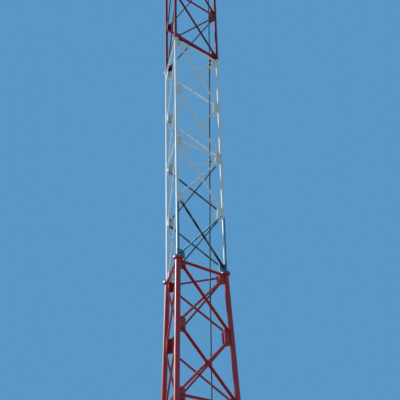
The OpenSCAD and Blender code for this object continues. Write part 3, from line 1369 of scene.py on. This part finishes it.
@dataclass
class FootWelds:
    """Where the welds of a foot run."""

    plan: MastPlan
    plate: float = 0.320
    plate_thick: float = 0.025
    ribs: int = 4
    rib_thick: float = 0.010
    toe_in: float = 0.030
    head_gap: float = 0.030

    def chains(self, leg: int) -> Iterable[Chain]:
        """The seams of one foot.

        Args:
            leg: Index of the leg.

        Yields:
            Each seam's points, and whether it is closed.
        """
        radius = TAPERED.leg / 2
        under_flange = self.plan.levels[0] - self.plan.joint(0).thick
        axis = self.plan.leg_point(leg, 0.0)
        for z in (self.plate_thick, under_flange):
            yield [axis + point for point in ring(radius, z, SEAM_SIDES)], True
        root = plate_edge(radius, self.rib_thick)
        head = under_flange - self.head_gap
        for i in range(self.ribs):
            turn = Matrix.Rotation(2 * math.pi * i / self.ribs, 3, "Z")
            out = turn @ self.plan.outward(leg)
            aside = UP.cross(out) * (self.rib_thick / 2)
            for side in (-aside, aside):
                foot = axis + side + out * root + UP * self.plate_thick
                toe = axis + side + out * (self.plate / 2 - self.toe_in) + UP * self.plate_thick
                yield [axis + side + out * root + UP * head, foot, toe], False


@dataclass
class UnfinishedCoat:
    """Where the white section's repainting has stopped at its foot, so that older coats show. The old
    teal coat's saturated blue is partly a painted reflection of blue sky.

    Heights are measured from that foot, and the edges say how ragged a patch is.
    """

    plan: MastPlan
    red: Colour
    primer: Colour = (0.16, 0.19, 0.20)
    light_primer: Colour = (0.27, 0.28, 0.28)
    # A real older coat, its blue deepened to stand for blue sky reflected on its shaded glossy sides:
    # partly a painted reflection.
    old_teal_and_sky_reflection: Colour = (0.17, 0.46, 0.57)
    from_right: Vector = field(default_factory=lambda: Vector((0.9458, 0.3247, 0.0)))
    below_foot: float = 0.1
    gusset_top: float = 0.175
    leg_tops: tuple[float, float] = (1.10, 1.16)
    red_starts: tuple[float, float] = (0.030, -0.035)
    over_flange: float = 0.001
    bar_top: float = 1.15
    back_bars: tuple[float, float] = (0.15, 2.36)
    inside_back: float = 0.05
    inner_bars: float = 0.06
    sharp_edge: float = 0.0015
    fine_edge: float = 0.012
    rough_edge: float = 0.06

    @property
    def foot(self) -> float:
        """Height of the joint at the foot of the white section."""
        return self.plan.levels[WHITE]

    def on_legs(self) -> list[PaintPatch]:
        """Older coats on the sides of the front and right legs that face away from the painted side,
        their teal partly a painted sky reflection.

        Returns:
            The patches.
        """
        low = self.foot - self.below_foot
        flange = self.foot + self.plan.joint(WHITE).thick + self.over_flange
        gussets = self.foot + self.gusset_top
        right = Face(self.plan, RIGHT, WHITE)
        middle = right.point(0.0, 0.0, self.foot)
        patches = [
            PaintPatch(low, gussets, self.old_teal_and_sky_reflection, middle, right.outward, ragged=self.fine_edge)
        ]
        for leg, (top, start) in enumerate(zip(self.leg_tops, self.red_starts)):
            axis = self.plan.leg_point(leg, self.foot)
            edge = axis + self.from_right * start
            patches += [
                PaintPatch(low, self.foot + top, self.old_teal_and_sky_reflection, axis, self.from_right),
                PaintPatch(low, flange, self.red, edge, self.from_right, ragged=self.sharp_edge),
            ]
        return patches

    def on_bars(self) -> list[PaintPatch]:
        """Primer, and old teal that is partly a painted sky reflection, on the crossed bars of the right
        and back faces, and on their bolts.

        Returns:
            The patches.
        """
        foot, top = self.foot, self.foot + self.bar_top
        low, high = (foot + height for height in self.back_bars)
        right, back = (Face(self.plan, side, WHITE) for side in (RIGHT, BACK))
        middle, outward = right.point(0.0, 0.0, foot), right.outward
        inner = back.point(0.0, self.inside_back, foot)
        return [
            PaintPatch(foot, top, self.primer, middle, outward),
            PaintPatch(
                foot, top, self.old_teal_and_sky_reflection, middle, -outward, width=self.inner_bars, spare_tops=True
            ),
            PaintPatch(low, high, self.light_primer, inner, back.outward, ragged=self.rough_edge),
        ]


def dress_frame(nodes: Mapping[str, bpy.types.Object], finishes: Mapping[str, Material]) -> None:
    """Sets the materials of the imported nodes.

    Args:
        nodes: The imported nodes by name.
        finishes: Materials by the record's slot, which the first or last word of a node's name
            may precede.
    """
    for name, node in nodes.items():
        kind, *_, place = name.split("_")
        for slot in node.material_slots:
            own = slot.material.name
            keys = (f"{kind}_{own}", f"{place}_{own}", own)
            slot.material = next(finishes[key] for key in keys if key in finishes)


# Lower red: its coat is set brighter partly as painted light, for the warm light bounced from the ground
# onto the lower mast.
RED_PAINT = MastPaint(
    name="red_paint",
    coat=(0.66, 0.08, 0.09),
    faded=(0.70, 0.15, 0.14),
    grime=(0.31, 0.08, 0.08),
    dust=(0.74, 0.36, 0.33),
    splash=(0.90, 0.86, 0.84),
    lacquer=0.5,
)
# Upper red: fresher paint with less rust and grime, and its deeper coat is partly painted shade, because
# the top of the mast gets less bounced light.
FRESH_AND_SHADED_RED_PAINT = MastPaint(
    name="fresh_and_shaded_red_paint",
    coat=(0.47, 0.03, 0.04),
    faded=(0.53, 0.07, 0.07),
    grime=(0.24, 0.04, 0.05),
    dust=(0.68, 0.31, 0.29),
    rust_share=0.3,
    grime_share=0.4,
    gloss=(0.30, 0.42),
    lacquer=0.2,
)
WHITE_PAINT = MastPaint(
    name="white_paint",
    # The white coat's slight cool tint is partly painted shade, for the blue skylight on the white's
    # shaded sides.
    coat=(0.88, 0.91, 0.91),
    faded=(0.83, 0.86, 0.86),
    grime=(0.55, 0.57, 0.55),
    dust=(0.92, 0.93, 0.92),
    rust_share=0.14,
    grime_share=0.16,
)
RED_BOLTS = MastPaint(
    name="red_bolts",
    coat=(0.52, 0.15, 0.14),
    faded=(0.56, 0.30, 0.27),
    grime=(0.28, 0.14, 0.12),
    dust=(0.66, 0.44, 0.40),
    rust_share=1.0,
)
WHITE_BOLTS = MastPaint(
    name="white_bolts",
    coat=(0.85, 0.88, 0.88),
    faded=(0.77, 0.80, 0.79),
    grime=(0.50, 0.50, 0.47),
    dust=(0.87, 0.88, 0.87),
    rust_share=0.5,
)


@dataclass(frozen=True)
class Studio:
    """Camera, soft daylight and a pale floor."""

    position: Vector = field(default_factory=lambda: Vector((4.535, -12.144, 1.564)))
    yaw: float = 0.0152
    pitch: float = 0.5037
    roll: float = -0.0258
    turn: float = 0.3307
    lens: float = 73.89
    sensor: float = 36.0
    sight: float = 400.0
    backdrop: Colour = (0.35, 0.59, 0.78)
    ambient: Colour = (0.62, 0.82, 0.96)
    ambient_strength: float = 0.40
    sun_from: Vector = field(default_factory=lambda: Vector((-0.999, -0.052, 0.532)))
    sun_strength: float = 3.35
    sun_colour: Colour = (1.0, 0.98, 0.94)
    sun_width: float = math.radians(5.0)
    floor: Colour = (0.80, 0.82, 0.83)
    floor_shown: Colour = (0.97, 0.97, 0.96)
    floor_roughness: float = 0.9
    floor_radius: float = 120.0
    floor_sides: int = 96

    def build(self) -> None:
        """Adds the camera, the light and the floor."""
        self._camera()
        self._sun()
        self._world()
        self._floor()

    def _camera(self) -> None:
        """Adds the camera of the photograph's view."""
        data = bpy.data.cameras.new("camera")
        data.lens = self.lens
        data.sensor_width = self.sensor
        data.clip_end = self.sight
        sin_yaw, cos_yaw = math.sin(self.yaw), math.cos(self.yaw)
        flat = math.cos(self.pitch)
        forward = Vector((sin_yaw * flat, cos_yaw * flat, math.sin(self.pitch)))
        right = Vector((cos_yaw, -sin_yaw, 0.0))
        up = right.cross(forward)
        cos_roll, sin_roll = math.cos(self.roll), math.sin(self.roll)
        axes = [right * cos_roll + up * sin_roll, up * cos_roll - right * sin_roll, -forward]
        turned = Matrix.Rotation(self.turn, 3, "Z") @ Matrix(axes).transposed()
        camera = bpy.data.objects.new("camera", data)
        camera.matrix_world = Matrix.Translation(self.position) @ turned.to_4x4()
        bpy.context.scene.collection.objects.link(camera)
        bpy.context.scene.camera = camera

    def _sun(self) -> None:
        """Adds a soft sun."""
        data = bpy.data.lights.new("sun", "SUN")
        data.energy = self.sun_strength
        data.angle = self.sun_width
        data.color = self.sun_colour
        sun = bpy.data.objects.new("sun", data)
        sun.matrix_world = self.sun_from.to_track_quat("Z", "Y").to_matrix().to_4x4()
        bpy.context.scene.collection.objects.link(sun)

    def _world(self) -> None:
        """Lights the scene evenly, with a plain backdrop behind it."""
        world = bpy.data.worlds.new("studio")
        world.use_nodes = True
        graph = Graph(world.node_tree)
        lit, shown = (
            graph.node("ShaderNodeBackground", sockets={"Color": linear(colour), "Strength": strength})
            for colour, strength in ((self.ambient, self.ambient_strength), (self.backdrop, 1.0))
        )
        both = graph.node(
            "ShaderNodeMixShader", sockets={0: graph.seen(), 1: lit.outputs[0], 2: shown.outputs[0]}
        )
        graph.node("ShaderNodeOutputWorld", sockets={"Surface": both.outputs[0]})
        bpy.context.scene.world = world

    def _floor(self) -> None:
        """Adds a wide pale floor."""
        surface = Surface("floor")
        shown = surface.mix(surface.seen(), self.floor, self.floor_shown)
        surface.feed(surface.shader.inputs["Base Color"], shown)
        surface.feed(surface.shader.inputs["Roughness"], self.floor_roughness)
        mesh = bmesh.new()
        edge = ring(self.floor_radius, 0.0, self.floor_sides)
        mesh.faces.new([mesh.verts.new(point) for point in edge])
        floor = hidden_object("floor", mesh)
        floor.data.materials.append(surface.material)
        bpy.context.scene.collection.objects.link(floor)


def main() -> None:
    """Builds the scene."""
    logging.basicConfig(level=logging.INFO, format="%(message)s")
    bpy.context.scene.view_settings.view_transform = "Standard"
    plan = MastPlan.from_frame(frame)
    coats = UnfinishedCoat(plan, RED_PAINT.coat)
    galvanised = Galvanised().dress()
    finishes = {
        "red_paint": RED_PAINT.dress(plan),
        "upper_red_paint": FRESH_AND_SHADED_RED_PAINT.dress(plan),
        "leg_white_paint": WHITE_PAINT.dress(plan, "_legs", coats.on_legs()),
        "brace_white_paint": WHITE_PAINT.dress(plan, "_bars", coats.on_bars()),
        "cable_jacket": CableJacket().dress(),
        "galvanised_steel": galvanised,
    }
    dress_frame(frame["nodes"], finishes)
    above_joint = PaintPatch(
        *plan.levels[UPPER:], RED_BOLTS.coat, point=plan.centre - UP, side=UP, width=EVERYWHERE
    )
    bolt_paint = {
        "red_paint": RED_BOLTS.dress(plan),
        "white_paint": WHITE_BOLTS.dress(plan, "", coats.on_bars()),
        "joint": WHITE_BOLTS.dress(plan, "_joint", [above_joint]),
    }
    seams = WeldSeams(plan, bead_tree())
    bolting = Bolting(fastener_tree())
    brace_bolts, flange_bolts = BraceBolts(plan), FlangeBolts(plan)
    seams.add_feet(finishes["red_paint"], "red_paint")
    for section, name in enumerate(SECTIONS):
        slot = "white_paint" if name == "white" else "red_paint"
        coat = {"white": "leg_white_paint", "upper": "upper_red_paint"}.get(name, slot)
        seams.add(section, finishes[coat], slot)
        bolts, size = brace_bolts.sites(section), plan.steel(section).bolt
        bolting.add(f"brace_bolts_{name}", size, bolts, bolt_paint[slot], slot)
        joint = bolt_paint["joint" if section == UPPER else "red_paint"]
        bolts, size = flange_bolts.sites(section), plan.joint(section).bolt
        bolting.add(f"flange_bolts_{section}", size, bolts, joint, "red_paint")
    hanger_sites = HangerBolts(plan, frame["nodes"]["cable_hangers"]).sites()
    bolting.add_heads("hanger_bolts", M6, hanger_sites, galvanised, "galvanised_steel")
    Studio().build()


if __name__ == "__main__":
    main()
